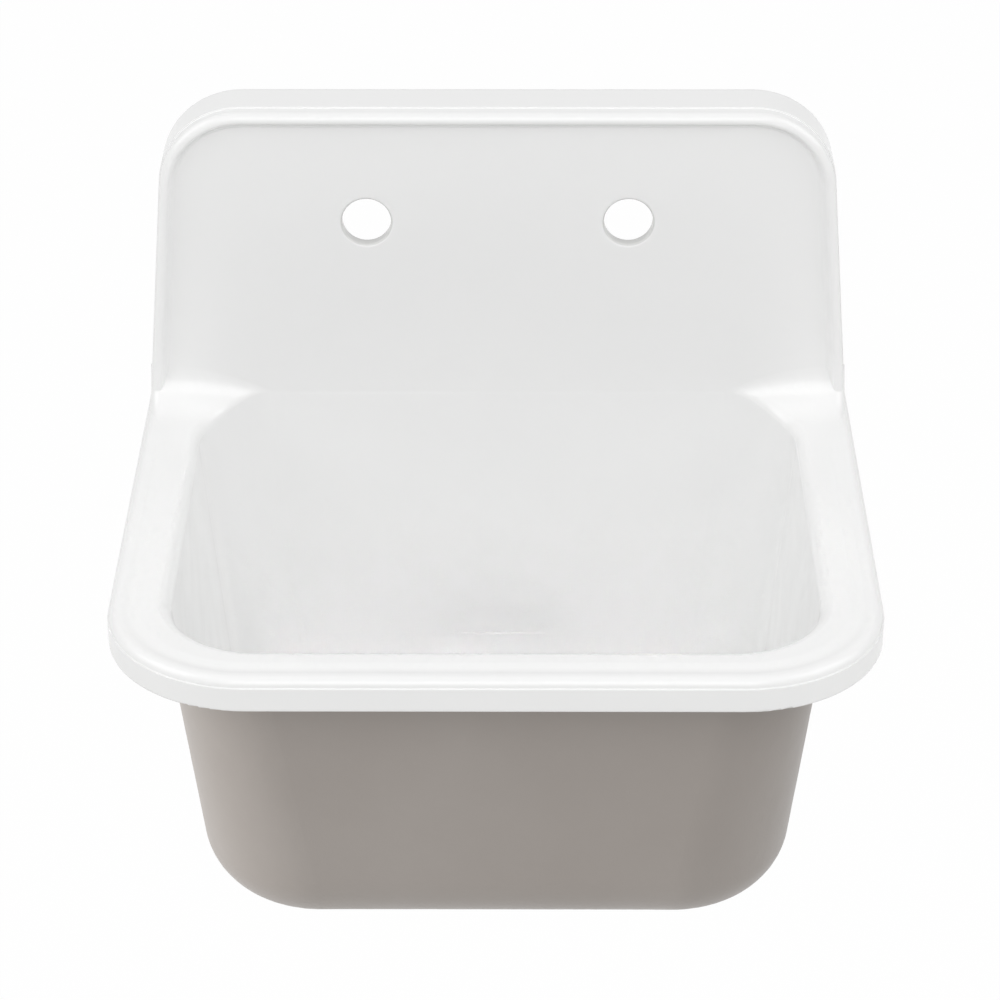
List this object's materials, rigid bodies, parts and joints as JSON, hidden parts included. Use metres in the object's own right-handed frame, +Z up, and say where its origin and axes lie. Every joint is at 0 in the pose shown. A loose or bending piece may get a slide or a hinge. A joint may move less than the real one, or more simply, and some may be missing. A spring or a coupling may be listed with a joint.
{
  "type": "wall-mounted sink",
  "caption": "Deep wall-hung enamelled cast-iron sink with rolled rim, beaded backsplash, faucet holes, hook-on wall rail and a basket-strainer drain.",
  "frame": {"origin": "centre of the four wall screws, on the wall plane", "axes": "+Y into the wall along the screws, front towards -Y, +X to the right seen from the front, +Z up"},
  "size_m": [0.559, 0.515, 0.648],
  "materials": {
    "white_enamel": "glossy fused enamel",
    "primed_iron": "satin grey primer over iron",
    "zinc_steel": "zinc plated",
    "zinc_screw": "zinc plated",
    "stainless": "brushed",
    "chromed_tube": "polished",
    "cast_nut": "plain die-cast",
    "brass_nut": "plain",
    "black_rubber": "matte",
    "putty": "matte",
    "fibre": "matte",
    "white_seal": "matte"
  },
  "bodies": {
    "hanger": {"wall_hanger": "zinc_steel", "hanger_screws": "zinc_screw", "hanger_washers": "zinc_screw"},
    "sink": {"sink_casting": "primed_iron", "enamel_coat": "white_enamel", "strainer_body": "stainless", "putty_seal": "putty", "drain_gasket": "black_rubber", "friction_ring": "fibre", "lock_nut": "cast_nut", "tailpiece_washer": "white_seal", "tailpiece": "chromed_tube", "coupling_nut": "brass_nut"},
    "basket": {"basket_cup": "stainless", "basket_post": "stainless", "basket_knob": "chromed_tube", "stopper_seal": "black_rubber", "stopper_nut": "brass_nut"}
  },
  "joints": [
    {"name": "sink_lift", "type": "slide", "parent": "hanger", "child": "sink", "axis": [0, 0, 1], "range_m": [0, 0.03]},
    {"name": "basket_lift", "type": "slide", "parent": "sink", "child": "basket", "axis": [0, 0, 1], "range_m": [0, 0.28]}
  ]
}
